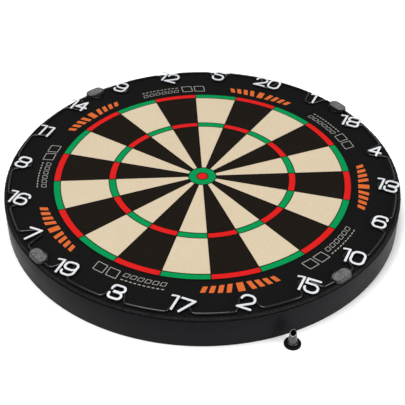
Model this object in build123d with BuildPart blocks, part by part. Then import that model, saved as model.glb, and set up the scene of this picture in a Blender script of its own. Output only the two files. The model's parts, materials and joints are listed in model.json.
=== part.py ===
from build123d import *
from math import asin, atan2, cos, degrees, radians, sin, sqrt
import os

os.makedirs("parts", exist_ok=True)

# A 451 mm bristle dartboard lying on its back, in millimetres. The origin is the centre of
# the back face, +Z leaves the playing face, and +Y points at the 20.

# Board
BOARD_DIAMETER = 451.0
BOARD_THICKNESS = 38.0
BACKBOARD_THICKNESS = 9.0
BACKBOARD_CHAMFER = 0.5
BAND_WALL = 1.0
BAND_ROUNDING = 0.4
BAND_SETBACK = 3.3        # the band's top edge stands this far below the playing face
BAND_FIT = 0.1            # gap between the band and what it holds
SHOULDER_WIDTH = 6.0      # how far the rounded shoulder reaches in from the edge
SHOULDER_DROP = 1.4       # height of the shoulder's outer corner below the face
SHOULDER_GAP = 0.2        # the shoulder starts this far above the band
SHOULDER_RADIUS = 1.4

# Scoring blades, by the radius of each ring's middle line
SECTORS = 20
BULL_RADIUS = 6.35
OUTER_BULL_RADIUS = 15.9
TREBLE_RADII = (99.0, 107.0)
DOUBLE_RADII = (162.0, 170.0)
BLADE_THICKNESS = 0.6
BLADE_PROUD = 0.5         # how far a blade stands out of the face
RADIAL_DEPTH = 6.5        # how deep a radial blade goes into the sisal
RING_DEPTH = 3.0          # how deep a ring blade goes into the sisal
BLADE_FIT = 0.05          # gap each side of a blade in its slot or notch
BLADE_TAIL = 2.0          # a radial blade runs this far past the double ring

# Number ring
RING_RADIUS = 219.3       # middle line of the wire between the numbers
WIRE_DIAMETER = 2.0
LOOP_MOUTH = 25.0         # a loop's width where it leaves the ring
LOOP_TIP_WIDTH = 9.2      # its width at its inner end
LOOP_DEPTH = 19.5
LOOP_MOUTH_RADIUS = 5.0
LOOP_TIP_RADIUS = 4.0
NUMERAL_RADIUS = 209.4    # from the board's centre to a numeral's middle
DIGIT_WIDTH = 16.0
ONE_WIDTH = 8.6
DIGIT_HEIGHT = 20.5
DIGIT_STROKE = 2.5
DIGIT_GAP = 1.6
NUMERAL_THICKNESS = 0.9
BEND_SHARE = 0.85         # radius of a digit's large bends, of half its width
SMALL_BEND_SHARE = 0.46   # radius of its small bends, of half its height
WAIST_SHARE = 0.06        # height where a digit's halves meet, of half its height
BOWL_SHARE = 0.14         # top of the bowl of the 6
HOOK_SHARE = 0.5          # end of the hook of the 6
OPEN_END_SHARE = 0.33     # where an open stroke ends
FIVE_BOWL_SHARE = 0.3     # top of the bowl of the 5
STEM_SHARE = 0.42         # foot of the 7 and stem of the 4, of half the width
FLAG_DROP_SHARE = 0.8     # tip of the 1's flag below its top, of the stroke
FLAG_EDGE_SHARE = 0.9     # height of the flag's tip, of the stroke
NUMBERS = (20, 1, 18, 4, 13, 6, 10, 15, 2, 17, 3, 19, 7, 16, 8, 11, 14, 9, 12, 5)

# Anchors pushed into the sisal, under the caps
ANCHOR_ANGLES = (63.0, -26.0, -117.0, 153.0)
ANCHOR_RADIUS = 215.0
FLANGE_DIAMETER = 17.5
FLANGE_THICKNESS = 2.6
FLANGE_PROUD = 1.2
FLANGE_ROUNDING = 0.9
FLANGE_FIT = 0.2          # gap round a flange in its spot face
PIN_DIAMETER = 7.4        # where it passes through the flange
PIN_ROOT_DIAMETER = 9.8   # below the collar, where the cone starts
PIN_TIP_DIAMETER = 6.6
PIN_BORE = 4.9
PIN_LENGTH = 15.8         # below the flange
PIN_HEAD_DIAMETER = 12.0
PIN_HEAD_THICKNESS = 0.8
PIN_COLLAR_DIAMETER = 11.2
PIN_COLLAR_HEIGHT = 1.2
PIN_SLANT = 3.8           # the slanted tip is this much shorter on one side
PIN_FIT = 0.15            # gap round a pin in its hole
SPARE_ANGLE = -44.15      # where the spare lies beside the board
SPARE_GAP = 5.5           # from the band to the spare's flange

# Caps and magnets
CAP_RADIUS = 218.6        # from the board's centre to a cap's middle
CAP_LENGTH = 23.4
CAP_WIDTH = 13.4
CAP_HEIGHT = 3.8
CAP_ROUNDING = 0.9
CAP_LIP = 0.4             # the lip at a cap's foot stands out this far
CAP_LIP_HEIGHT = 0.9
RUNNING_GAP = 0.3         # air under the wire and the caps, and round the wire in a cap
MAGNET_RADIUS_PLACE = 215.2
MAGNET_DIAMETER = 4.5
MAGNET_THICKNESS = 2.0
MAGNET_RECESS = 0.1
MAGNET_FIT = 0.1

# Hanging nut in the backboard, for an M6 screw
NUT_BORE = 6.0
NUT_BARREL = 8.0
NUT_FLANGE = 19.0
NUT_FLANGE_THICKNESS = 1.4
NUT_FIT = 0.1

# Riveted seam of the band
SEAM_ANGLE = 114.0
SEAM_SPAN = 11.0          # degrees of the rim that the plate covers
SEAM_PLATE_WALL = 0.7
SEAM_PLATE_MARGIN = 5.0   # from the plate's ends to the band's edges
RIVET_DIAMETER = 4.0
RIVET_HEAD = 7.0
RIVET_HEAD_HEIGHT = 1.3
RIVET_HEAD_TAPER = 30.0   # slope of a rivet head's side
RIVET_FIT = 0.1
RIVET_EDGE = 7.0          # from the plate's edge to a rivet's middle

# Worked out from the sizes above
board_radius = BOARD_DIAMETER / 2
band_inner = board_radius - BAND_WALL
band_top = BOARD_THICKNESS - BAND_SETBACK
core_radius = band_inner - BAND_FIT
face = BOARD_THICKNESS
sector = 360.0 / SECTORS
flange_seat = face + FLANGE_PROUD - FLANGE_THICKNESS
wire_bottom = face + FLANGE_PROUD + RUNNING_GAP
wire_middle = wire_bottom + WIRE_DIAMETER / 2
wire_top = wire_bottom + WIRE_DIAMETER
cap_bottom = wire_bottom


def save(builder, name):
    """Label a finished piece and write it to its own STEP file."""
    builder.part.label = name
    export_step(builder.part, f"parts/{name}.step")


def on_board(radius, angle, height):
    """A plane on the board, its X along the rim and its Y pointing away from the centre."""
    a = radians(angle)
    return Plane(
        origin=(radius * cos(a), radius * sin(a), height),
        x_dir=(sin(a), -cos(a), 0),
        z_dir=(0, 0, 1),
    )


# Backboard: the chipboard disc behind the sisal, with a stepped hole for the nut
with BuildPart() as backboard:
    with BuildSketch(Plane.XY):
        Circle(core_radius)
    extrude(amount=BACKBOARD_THICKNESS)
    chamfer(backboard.edges().sort_by(Axis.Z)[0], length=BACKBOARD_CHAMFER)
    with Locations((0, 0, BACKBOARD_THICKNESS)):
        CounterBoreHole(
            radius=NUT_BARREL / 2 + NUT_FIT,
            counter_bore_radius=NUT_FLANGE / 2 + NUT_FIT,
            counter_bore_depth=NUT_FLANGE_THICKNESS,
        )
save(backboard, "backboard")

# Hanging nut: a flange that the sisal covers, and a barrel open at the back
with BuildPart() as hanging_nut:
    with BuildSketch(Plane.XY):
        Circle(NUT_BARREL / 2)
    extrude(amount=BACKBOARD_THICKNESS - NUT_FLANGE_THICKNESS)
    with BuildSketch(Plane.XY.offset(BACKBOARD_THICKNESS - NUT_FLANGE_THICKNESS)):
        Circle(NUT_FLANGE / 2)
    extrude(amount=NUT_FLANGE_THICKNESS)
    Hole(radius=NUT_BORE / 2)
save(hanging_nut, "hanging_nut")

# Rim band: a steel hoop, rounded along its top edge and drilled for the seam's rivets
seam_bottom = SEAM_PLATE_MARGIN
seam_height = band_top - 2 * SEAM_PLATE_MARGIN
plate_radius = board_radius + SEAM_PLATE_WALL
plate_half_width = radians(SEAM_SPAN / 2) * board_radius
rivet_turn = degrees((plate_half_width - RIVET_EDGE) / board_radius)
rivet_heights = (seam_bottom + RIVET_EDGE, seam_bottom + seam_height - RIVET_EDGE)


def rivet_planes(radius):
    """Planes square to the rim at each of the seam's four rivets."""
    planes = []
    for side in (-1, 1):
        a = radians(SEAM_ANGLE + side * rivet_turn)
        for height in rivet_heights:
            place = (radius * cos(a), radius * sin(a), height)
            planes.append(Plane(origin=place, z_dir=(cos(a), sin(a), 0)))
    return planes


with BuildPart() as rim_band:
    with BuildSketch(Plane.XY):
        Circle(board_radius)
        Circle(band_inner, mode=Mode.SUBTRACT)
    extrude(amount=band_top)
    fillet(rim_band.edges().filter_by(GeomType.CIRCLE), radius=BAND_ROUNDING)
    with BuildSketch(*rivet_planes(band_inner - BAND_WALL)):
        Circle(RIVET_DIAMETER / 2 + RIVET_FIT)
    extrude(amount=3 * BAND_WALL, mode=Mode.SUBTRACT)
save(rim_band, "rim_band")

with BuildPart() as seam_plate:
    with BuildSketch(Plane.XY.offset(seam_bottom)):
        Circle(plate_radius)
        Circle(board_radius, mode=Mode.SUBTRACT)
        with BuildLine():
            reach = 2 * board_radius
            rays = []
            for side in (-1, 1):
                a = radians(SEAM_ANGLE + side * SEAM_SPAN / 2)
                rays.append((reach * cos(a), reach * sin(a)))
            Polyline((0, 0), *rays, close=True)
        make_face(mode=Mode.INTERSECT)
    extrude(amount=seam_height)
    with BuildSketch(*rivet_planes(band_inner)):
        Circle(RIVET_DIAMETER / 2 + RIVET_FIT)
    extrude(amount=3 * (BAND_WALL + SEAM_PLATE_WALL), mode=Mode.SUBTRACT)
save(seam_plate, "band_seam_plate")

with BuildPart() as rivets:
    with BuildSketch(*rivet_planes(band_inner)):
        Circle(RIVET_DIAMETER / 2)
    extrude(amount=BAND_WALL + SEAM_PLATE_WALL)
    with BuildSketch(*rivet_planes(plate_radius)):
        Circle(RIVET_HEAD / 2)
    extrude(amount=RIVET_HEAD_HEIGHT, taper=RIVET_HEAD_TAPER)
save(rivets, "seam_rivets")

# Sisal core: the playing disc, its shoulder, the slots of the blades and the anchors' holes
ring_radii = (BULL_RADIUS, OUTER_BULL_RADIUS, *TREBLE_RADII, *DOUBLE_RADII)
blade_start = OUTER_BULL_RADIUS + BLADE_THICKNESS / 2 + BLADE_FIT
blade_end = DOUBLE_RADII[1] + BLADE_THICKNESS / 2 + BLADE_TAIL
radial_slot = BLADE_THICKNESS + 2 * BLADE_FIT

with BuildPart() as sisal_core:
    with BuildSketch(Plane.XZ):
        with BuildLine():
            FilletPolyline(
                (0, BACKBOARD_THICKNESS),
                (core_radius, BACKBOARD_THICKNESS),
                (core_radius, band_top + SHOULDER_GAP),
                (board_radius, face - SHOULDER_DROP),
                (board_radius - SHOULDER_WIDTH, face),
                (0, face),
                radius=(0, 0, SHOULDER_RADIUS, 2 * SHOULDER_RADIUS),
            )
            Line((0, face), (0, BACKBOARD_THICKNESS))
        make_face()
    revolve(axis=Axis.Z)
    with BuildSketch(Plane.XY.offset(face)):
        for radius in reversed(ring_radii):
            Circle(radius + radial_slot / 2)
            Circle(radius - radial_slot / 2, mode=Mode.SUBTRACT)
    extrude(amount=-RING_DEPTH, mode=Mode.SUBTRACT)
    with BuildSketch(Plane.XY.offset(face)):
        with PolarLocations(0, SECTORS, start_angle=sector / 2):
            with Locations(((blade_start + blade_end) / 2, 0)):
                Rectangle(blade_end - blade_start + 2 * BLADE_FIT, radial_slot)
    extrude(amount=-RADIAL_DEPTH, mode=Mode.SUBTRACT)
    for angle in ANCHOR_ANGLES:
        with BuildSketch(on_board(ANCHOR_RADIUS, angle, flange_seat)):
            Circle(FLANGE_DIAMETER / 2 + FLANGE_FIT)
        extrude(amount=FLANGE_THICKNESS, mode=Mode.SUBTRACT)
        with BuildSketch(on_board(ANCHOR_RADIUS, angle, flange_seat)):
            Circle(PIN_COLLAR_DIAMETER / 2 + PIN_FIT)
        extrude(amount=-(PIN_LENGTH + RUNNING_GAP), mode=Mode.SUBTRACT)
save(sisal_core, "sisal_core")

# Radial blades: one thin strip a sector edge, notched where the rings cross
with BuildPart() as radial_blades:
    with BuildSketch(Plane.XY.offset(face - RADIAL_DEPTH)):
        with PolarLocations(0, SECTORS, start_angle=sector / 2):
            with Locations(((blade_start + blade_end) / 2, 0)):
                Rectangle(blade_end - blade_start, BLADE_THICKNESS)
    extrude(amount=RADIAL_DEPTH + BLADE_PROUD)
    with BuildSketch(Plane.XY.offset(face - RING_DEPTH)):
        for radius in reversed(ring_radii[2:]):
            Circle(radius + radial_slot / 2)
            Circle(radius - radial_slot / 2, mode=Mode.SUBTRACT)
    extrude(amount=RING_DEPTH + BLADE_PROUD, mode=Mode.SUBTRACT)
save(radial_blades, "radial_blades")

# Ring blades: plain hoops that sit in the slots and notches
ring_names = (
    "bull_blade",
    "outer_bull_blade",
    "treble_inner_blade",
    "treble_outer_blade",
    "double_inner_blade",
    "double_outer_blade",
)
for ring_name, radius in zip(ring_names, ring_radii):
    with BuildPart() as ring_blade:
        with BuildSketch(Plane.XY.offset(face - RING_DEPTH)):
            Circle(radius + BLADE_THICKNESS / 2)
            Circle(radius - BLADE_THICKNESS / 2, mode=Mode.SUBTRACT)
        extrude(amount=RING_DEPTH + BLADE_PROUD)
    save(ring_blade, ring_name)

# Number ring wire: one bay with its loop, repeated round the board
mouth_y = sqrt(RING_RADIUS**2 - (LOOP_MOUTH / 2) ** 2)
mouth_turn = degrees(asin(LOOP_MOUTH / 2 / RING_RADIUS))
tip_y = RING_RADIUS - LOOP_DEPTH
quarter = 90.0

with BuildPart() as bay:
    with BuildLine(Plane.XY.offset(wire_middle)) as bay_path:
        CenterArc((0, 0), RING_RADIUS, quarter + mouth_turn, sector / 2 - mouth_turn)
        Polyline(
            (-LOOP_MOUTH / 2, mouth_y),
            (-LOOP_TIP_WIDTH / 2, tip_y),
            (LOOP_TIP_WIDTH / 2, tip_y),
            (LOOP_MOUTH / 2, mouth_y),
        )
        CenterArc((0, 0), RING_RADIUS, quarter - mouth_turn, mouth_turn - sector / 2)
        corners = bay_path.vertices().filter_by(lambda v: v.Y < mouth_y + LOOP_TIP_RADIUS)
        tips = corners.filter_by(lambda v: v.Y < tip_y + LOOP_TIP_RADIUS)
        fillet(tips, radius=LOOP_TIP_RADIUS)
        mouths = bay_path.vertices().filter_by(
            lambda v: abs(abs(v.X) - LOOP_MOUTH / 2) < WIRE_DIAMETER
        )
        fillet(mouths, radius=LOOP_MOUTH_RADIUS)
    path = bay_path.wire()
    with BuildSketch(Plane(origin=path @ 0, z_dir=path % 0)):
        Circle(WIRE_DIAMETER / 2)
    sweep(path=path)

with BuildPart() as number_ring_wire:
    with PolarLocations(0, SECTORS):
        add(bay.part)
save(number_ring_wire, "number_ring_wire")

# Numerals: each digit is a few strokes of one width, given by their middle lines
half_w = (DIGIT_WIDTH - DIGIT_STROKE) / 2
half_h = (DIGIT_HEIGHT - DIGIT_STROKE) / 2
bend = half_w * BEND_SHARE
small_bend = half_h * SMALL_BEND_SHARE
waist = half_h * WAIST_SHARE
six_bowl_y = half_h * BOWL_SHARE
six_bowl_height = half_h + six_bowl_y
six_bend = six_bowl_height * SMALL_BEND_SHARE
end_y = half_h * OPEN_END_SHARE
five_bowl_y = half_h * FIVE_BOWL_SHARE
flag_y = half_h - DIGIT_STROKE * FLAG_DROP_SHARE
flag_tip_y = flag_y + DIGIT_STROKE * FLAG_EDGE_SHARE
foot_x = half_w * STEM_SHARE

TWO = [
    (-half_w, end_y),
    (-half_w, half_h),
    (half_w, half_h),
    (half_w, waist),
    (-half_w, -half_h),
    (half_w, -half_h),
]
THREE = [
    (-half_w, end_y),
    (-half_w, half_h),
    (half_w, half_h),
    (half_w, waist),
    (-foot_x, waist),
]
FIVE = [
    (half_w - DIGIT_STROKE / 4, half_h),
    (-half_w, half_h),
    (-half_w, five_bowl_y),
    (half_w, five_bowl_y),
    (half_w, -half_h),
    (-half_w, -half_h),
    (-half_w, -end_y),
]
SIX = [
    (half_w, half_h * HOOK_SHARE),
    (half_w, half_h),
    (-half_w, half_h),
    (-half_w, six_bowl_y - six_bowl_height / 2),
]
SEVEN = [
    (-half_w, half_h),
    (half_w, half_h),
    (-foot_x, -half_h),
]
FOUR = [
    (half_w, -end_y),
    (-half_w, -end_y),
    (foot_x, half_h),
]


def stroke(points, radii):
    """Trace one stroke of a digit along its middle line, and round both its ends."""
    with BuildLine() as middle_line:
        FilletPolyline(*points, radius=radii)
    trace(middle_line.line, line_width=DIGIT_STROKE)
    with Locations(points[0], points[-1]):
        Circle(DIGIT_STROKE / 2)


def flipped(points):
    """The same stroke, its top and bottom changed over."""
    return [(x, -y) for x, y in points]


def six(way):
    """Draw a 6, or a 9 where the way is -1."""
    stroke([(way * x, way * y) for x, y in SIX], (small_bend, bend))
    with Locations((0, way * (six_bowl_y - six_bowl_height / 2))):
        RectangleRounded(DIGIT_WIDTH, six_bowl_height + DIGIT_STROKE, six_bend + DIGIT_STROKE / 2)
        RectangleRounded(
            DIGIT_WIDTH - 2 * DIGIT_STROKE,
            six_bowl_height - DIGIT_STROKE,
            six_bend - DIGIT_STROKE / 2,
            mode=Mode.SUBTRACT,
        )


def digit_sketch(digit):
    """Draw one digit in the sketch that is open, about the sketch's origin."""
    if digit == "0":
        RectangleRounded(DIGIT_WIDTH, DIGIT_HEIGHT, bend + DIGIT_STROKE / 2)
        RectangleRounded(
            DIGIT_WIDTH - 2 * DIGIT_STROKE,
            DIGIT_HEIGHT - 2 * DIGIT_STROKE,
            bend - DIGIT_STROKE / 2,
            mode=Mode.SUBTRACT,
        )
    elif digit == "1":
        stem_left = ONE_WIDTH / 2 - DIGIT_STROKE
        with Locations((ONE_WIDTH / 2 - DIGIT_STROKE / 2, 0)):
            Rectangle(DIGIT_STROKE, DIGIT_HEIGHT)
        Polygon(
            (-ONE_WIDTH / 2, flag_y),
            (stem_left, half_h - DIGIT_STROKE / 4),
            (stem_left + DIGIT_STROKE / 2, half_h + DIGIT_STROKE / 2),
            (stem_left, half_h + DIGIT_STROKE / 2),
            (-ONE_WIDTH / 2, flag_tip_y),
            align=None,
        )
    elif digit == "2":
        stroke(TWO, (bend, bend, small_bend, 0))
    elif digit == "3":
        stroke(THREE, (small_bend, small_bend, small_bend))
        stroke(flipped(THREE), (small_bend, small_bend, small_bend))
    elif digit == "4":
        stroke(FOUR, (0,))
        with Locations((foot_x, 0)):
            SlotOverall(DIGIT_HEIGHT, DIGIT_STROKE, rotation=90)
    elif digit == "5":
        stroke(FIVE, (0, 0, bend, bend, bend))
    elif digit == "6":
        six(1)
    elif digit == "7":
        stroke(SEVEN, (0,))
    elif digit == "8":
        for side in (-1, 1):
            with Locations((0, side * half_h / 2)):
                RectangleRounded(DIGIT_WIDTH, half_h + DIGIT_STROKE, small_bend + DIGIT_STROKE / 2)
        for side in (-1, 1):
            with Locations((0, side * half_h / 2)):
                RectangleRounded(
                    DIGIT_WIDTH - 2 * DIGIT_STROKE,
                    half_h - DIGIT_STROKE,
                    small_bend - DIGIT_STROKE / 2,
                    mode=Mode.SUBTRACT,
                )
    elif digit == "9":
        six(-1)
    Rectangle(DIGIT_WIDTH, DIGIT_HEIGHT, mode=Mode.INTERSECT)


for index, number in enumerate(NUMBERS):
    digits = str(number)
    widths = [ONE_WIDTH if digit == "1" else DIGIT_WIDTH for digit in digits]
    left = -(sum(widths) + DIGIT_GAP * (len(digits) - 1)) / 2
    bearing = radians(index * sector)
    middle = (NUMERAL_RADIUS * sin(bearing), NUMERAL_RADIUS * cos(bearing), wire_top)
    with BuildPart() as numeral:
        for digit, width in zip(digits, widths):
            with BuildSketch(Plane(middle).move(Location((left + width / 2, 0, 0)))):
                digit_sketch(digit)
            extrude(amount=NUMERAL_THICKNESS)
            left += width + DIGIT_GAP
    save(numeral, f"numeral_{number}")


def anchor(seat, pin_name, flange_name):
    """An anchor whose flange stands on the seat plane and whose pin goes down through it."""
    head_seat = FLANGE_THICKNESS - PIN_HEAD_THICKNESS
    slant_angle = degrees(atan2(PIN_SLANT, PIN_TIP_DIAMETER))
    cone_angle = degrees(atan2(PIN_ROOT_DIAMETER - PIN_TIP_DIAMETER, 2 * PIN_LENGTH))
    with BuildPart() as flange:
        with BuildSketch(seat):
            Circle(FLANGE_DIAMETER / 2)
        extrude(amount=FLANGE_THICKNESS)
        fillet(flange.edges(), radius=FLANGE_ROUNDING)
        with BuildSketch(seat):
            Circle(PIN_DIAMETER / 2 + PIN_FIT)
        extrude(amount=FLANGE_THICKNESS, mode=Mode.SUBTRACT)
        with BuildSketch(seat.offset(head_seat)):
            Circle(PIN_HEAD_DIAMETER / 2 + PIN_FIT)
        extrude(amount=PIN_HEAD_THICKNESS, mode=Mode.SUBTRACT)
    save(flange, flange_name)

    with BuildPart() as pin:
        with BuildSketch(seat):
            Circle(PIN_ROOT_DIAMETER / 2)
        extrude(amount=-PIN_LENGTH, taper=cone_angle)
        with BuildSketch(seat):
            Circle(PIN_DIAMETER / 2)
        extrude(amount=head_seat)
        with BuildSketch(seat.offset(head_seat)):
            Circle(PIN_HEAD_DIAMETER / 2)
        extrude(amount=PIN_HEAD_THICKNESS)
        with BuildSketch(seat.offset(-PIN_COLLAR_HEIGHT)):
            Circle(PIN_COLLAR_DIAMETER / 2)
        extrude(amount=PIN_COLLAR_HEIGHT)
        with BuildSketch(seat.offset(-PIN_LENGTH)):
            Circle(PIN_BORE / 2)
        extrude(amount=PIN_LENGTH - PIN_COLLAR_HEIGHT, mode=Mode.SUBTRACT)
        slant = seat.offset(PIN_SLANT / 2 - PIN_LENGTH)
        split(bisect_by=slant.rotated((slant_angle, 0, 0)), keep=Keep.TOP)
    save(pin, pin_name)


def cap(number, angle):
    """A cap over the wire, with its magnet in a pocket inboard of the wire."""
    foot = on_board(CAP_RADIUS, angle, cap_bottom)
    groove = WIRE_DIAMETER / 2 + RUNNING_GAP
    with BuildPart() as body:
        with BuildSketch(foot):
            SlotOverall(CAP_LENGTH, CAP_WIDTH)
        extrude(amount=CAP_HEIGHT)
        fillet(body.faces().sort_by(Axis.Z)[-1].edges(), radius=CAP_ROUNDING)
        with BuildSketch(foot):
            SlotOverall(CAP_LENGTH + 2 * CAP_LIP, CAP_WIDTH + 2 * CAP_LIP)
        extrude(amount=CAP_LIP_HEIGHT)
        with BuildSketch(Plane.XY.offset(cap_bottom)):
            Circle(RING_RADIUS + groove)
            Circle(RING_RADIUS - groove, mode=Mode.SUBTRACT)
        extrude(amount=WIRE_DIAMETER + RUNNING_GAP, mode=Mode.SUBTRACT)
        with BuildSketch(on_board(MAGNET_RADIUS_PLACE, angle, cap_bottom)):
            Circle(MAGNET_DIAMETER / 2 + MAGNET_FIT)
        extrude(amount=MAGNET_THICKNESS + MAGNET_RECESS, mode=Mode.SUBTRACT)
    save(body, f"cap_{number}")

    with BuildPart() as magnet:
        with BuildSketch(on_board(MAGNET_RADIUS_PLACE, angle, cap_bottom + MAGNET_RECESS)):
            Circle(MAGNET_DIAMETER / 2)
        extrude(amount=MAGNET_THICKNESS)
    save(magnet, f"magnet_{number}")


for number, angle in enumerate(ANCHOR_ANGLES, start=1):
    seat = on_board(ANCHOR_RADIUS, angle, flange_seat)
    anchor(seat, f"anchor_pin_{number}", f"anchor_flange_{number}")
    cap(number, angle)

# Spare anchor, standing on its flange beside the board
spare_distance = board_radius + SPARE_GAP + FLANGE_DIAMETER / 2
spare_turn = radians(SPARE_ANGLE)
spare_place = (spare_distance * cos(spare_turn), spare_distance * sin(spare_turn), FLANGE_THICKNESS)
spare_seat = Plane(origin=spare_place, x_dir=(1, 0, 0), z_dir=(0, 0, -1))
anchor(spare_seat, "spare_pin", "spare_flange")
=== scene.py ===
import json
import math

import bpy
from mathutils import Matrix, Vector

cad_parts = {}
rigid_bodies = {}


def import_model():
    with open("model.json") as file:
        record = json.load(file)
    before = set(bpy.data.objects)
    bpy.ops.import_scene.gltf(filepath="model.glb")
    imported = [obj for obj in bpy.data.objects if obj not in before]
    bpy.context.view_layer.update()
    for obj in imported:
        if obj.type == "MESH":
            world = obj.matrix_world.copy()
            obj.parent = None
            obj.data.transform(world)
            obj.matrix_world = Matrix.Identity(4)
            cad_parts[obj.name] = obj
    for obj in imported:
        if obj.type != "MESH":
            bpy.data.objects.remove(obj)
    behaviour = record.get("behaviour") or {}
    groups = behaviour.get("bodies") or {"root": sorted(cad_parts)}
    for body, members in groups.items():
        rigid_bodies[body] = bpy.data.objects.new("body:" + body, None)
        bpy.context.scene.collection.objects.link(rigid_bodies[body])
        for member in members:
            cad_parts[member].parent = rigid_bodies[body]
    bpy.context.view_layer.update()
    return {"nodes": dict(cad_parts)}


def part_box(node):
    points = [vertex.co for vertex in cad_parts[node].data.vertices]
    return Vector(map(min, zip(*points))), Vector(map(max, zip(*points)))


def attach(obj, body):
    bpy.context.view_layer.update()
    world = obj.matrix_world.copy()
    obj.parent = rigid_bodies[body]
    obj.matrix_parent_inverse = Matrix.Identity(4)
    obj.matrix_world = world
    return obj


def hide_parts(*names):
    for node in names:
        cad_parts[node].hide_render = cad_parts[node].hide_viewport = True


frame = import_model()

# Metres, in the board's own frame: the origin is the centre of its back, +Z leaves the
# playing face and +Y points at the 20. MM turns millimetres into metres.
MM = 0.001

# ---------------------------------------------------------------- sizes, from the frame


def outer_radius(node):
    """The radius of a round piece that is centred on the board's axis."""
    low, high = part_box(node)
    return round((high.x - low.x) / 2 / MM, 1) * MM


def middle(node):
    """The middle of a piece's box."""
    low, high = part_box(node)
    return (low + high) / 2


BLADE = 0.6 * MM          # thickness of a blade
BAND_WALL = 1.0 * MM
BAND_FIT = 0.1 * MM       # gap between the band and the disc inside it
board_radius = outer_radius("rim_band")
band_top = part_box("rim_band")[1].z
core_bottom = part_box("sisal_core")[0].z
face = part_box("sisal_core")[1].z
core_radius = board_radius - BAND_WALL - BAND_FIT
bull = outer_radius("bull_blade") - BLADE / 2
outer_bull = outer_radius("outer_bull_blade") - BLADE / 2
treble = [outer_radius(f"treble_{side}_blade") - BLADE / 2 for side in ("inner", "outer")]
double = [outer_radius(f"double_{side}_blade") - BLADE / 2 for side in ("inner", "outer")]

SECTORS = 20
SECTOR = 2 * math.pi / SECTORS
ROUND_STEPS = 288         # sides of a large round piece
BED_DEPTH = 1.6 * MM      # thickness of the coloured beds
BED_CROWN = 0.15 * MM     # how far a bed's top stands above the flat face
BED_EDGE = 0.45 * MM      # rounding along a bed's edges
BLADE_GAP = 0.08 * MM     # from a blade's side to the bed beside it
ANCHORS = 4
SMOOTH_ANGLE = 35.0       # faces that meet at less than this shade as one surface
SHARP_EDGE = 50.0         # edges of a CAD piece that are sharper than this get rounded
MERGE_NEAR = 0.002 * MM   # points closer than this become one
CAD_MERGE_NEAR = 0.001 * MM
bed_edge_gap = BLADE / 2 + BLADE_GAP

# ---------------------------------------------------------------- modelling helpers


def clear_selection():
    """Leave edit mode and select nothing."""
    if bpy.context.object and bpy.context.object.mode != "OBJECT":
        bpy.ops.object.mode_set(mode="OBJECT")
    bpy.ops.object.select_all(action="DESELECT")


def open_piece(name):
    """Name the new primitive and open it in edit mode with everything selected."""
    piece = bpy.context.object
    piece.name = name
    piece.data.name = name
    bpy.ops.object.mode_set(mode="EDIT")
    bpy.ops.mesh.select_all(action="SELECT")
    return piece


def apply_place():
    """Move the active piece's place, turn and scale into its mesh."""
    bpy.ops.object.transform_apply(location=True, rotation=True, scale=True)


def smoothed(piece, angle=SMOOTH_ANGLE):
    """Shade a piece smooth, apart from its sharper edges."""
    pick(piece)
    bpy.ops.object.shade_smooth_by_angle(angle=math.radians(angle))
    return piece


def close_piece(piece, angle=SMOOTH_ANGLE):
    """Merge, turn the faces outwards, apply the place and smooth the shallow edges."""
    bpy.ops.mesh.select_all(action="SELECT")
    bpy.ops.mesh.remove_doubles(threshold=MERGE_NEAR)
    bpy.ops.mesh.normals_make_consistent(inside=False)
    bpy.ops.object.mode_set(mode="OBJECT")
    pick(piece)
    apply_place()
    return smoothed(piece, angle)


def pick(*pieces):
    """Select these pieces and nothing else; the first one is active."""
    clear_selection()
    for piece in pieces:
        piece.select_set(True)
    bpy.context.view_layer.objects.active = pieces[0]


def join(name, *pieces):
    """Join the pieces into the first one, under a new name."""
    pick(*pieces)
    if len(pieces) > 1:
        bpy.ops.object.join()
    pieces[0].name = name
    pieces[0].data.name = name
    return pieces[0]


def grow(x, y, centre):
    """Scale what is selected across the board, about a centre."""
    bpy.ops.transform.resize(value=(x, y, 1), center_override=centre)


def select_where(piece, kind, test):
    """Select only the vertices, edges or faces that pass the test."""
    bpy.ops.mesh.select_mode(type={"vertices": "VERT", "edges": "EDGE", "polygons": "FACE"}[kind])
    bpy.ops.mesh.select_all(action="DESELECT")
    bpy.ops.object.mode_set(mode="OBJECT")
    for item in getattr(piece.data, kind):
        item.select = test(item)
    bpy.ops.object.mode_set(mode="EDIT")


def turned(name, outline, ends="bridge", steps=ROUND_STEPS, angle=SMOOTH_ANGLE):
    """A round piece about the board's axis, grown ring by ring from (radius, height) points."""
    clear_selection()
    (radius, height), *rest = outline
    bpy.ops.mesh.primitive_circle_add(vertices=steps, radius=radius, location=(0, 0, height))
    piece = open_piece(name)
    for next_radius, next_height in rest:
        bpy.ops.mesh.extrude_edges_indiv()
        grow(next_radius / radius, next_radius / radius, (0, 0, height))
        bpy.ops.transform.translate(value=(0, 0, next_height - height))
        radius, height = next_radius, next_height
    bpy.ops.mesh.select_all(action="DESELECT")
    bpy.ops.mesh.select_mode(type="EDGE")
    bpy.ops.mesh.select_non_manifold()
    if ends == "bridge":
        bpy.ops.mesh.bridge_edge_loops()
    else:
        bpy.ops.mesh.fill_holes(sides=0)
    return close_piece(piece, angle)


def bevelled(piece, width, segments, limit=40.0):
    """Round a piece's sharp edges with an applied Bevel modifier."""
    pick(piece)
    bevel = piece.modifiers.new("edges", "BEVEL")
    bevel.width = width
    bevel.segments = segments
    bevel.limit_method = "ANGLE"
    bevel.angle_limit = math.radians(limit)
    bpy.ops.object.modifier_apply(modifier=bevel.name)
    return smoothed(piece)


def cut(piece, cutter):
    """Cut one closed piece out of another, and throw the cutter away."""
    pick(piece)
    boolean = piece.modifiers.new("cut", "BOOLEAN")
    boolean.operation = "DIFFERENCE"
    boolean.solver = "EXACT"
    boolean.object = cutter
    bpy.ops.object.modifier_apply(modifier=boolean.name)
    pick(cutter)
    bpy.ops.object.delete()
    return piece


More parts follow.
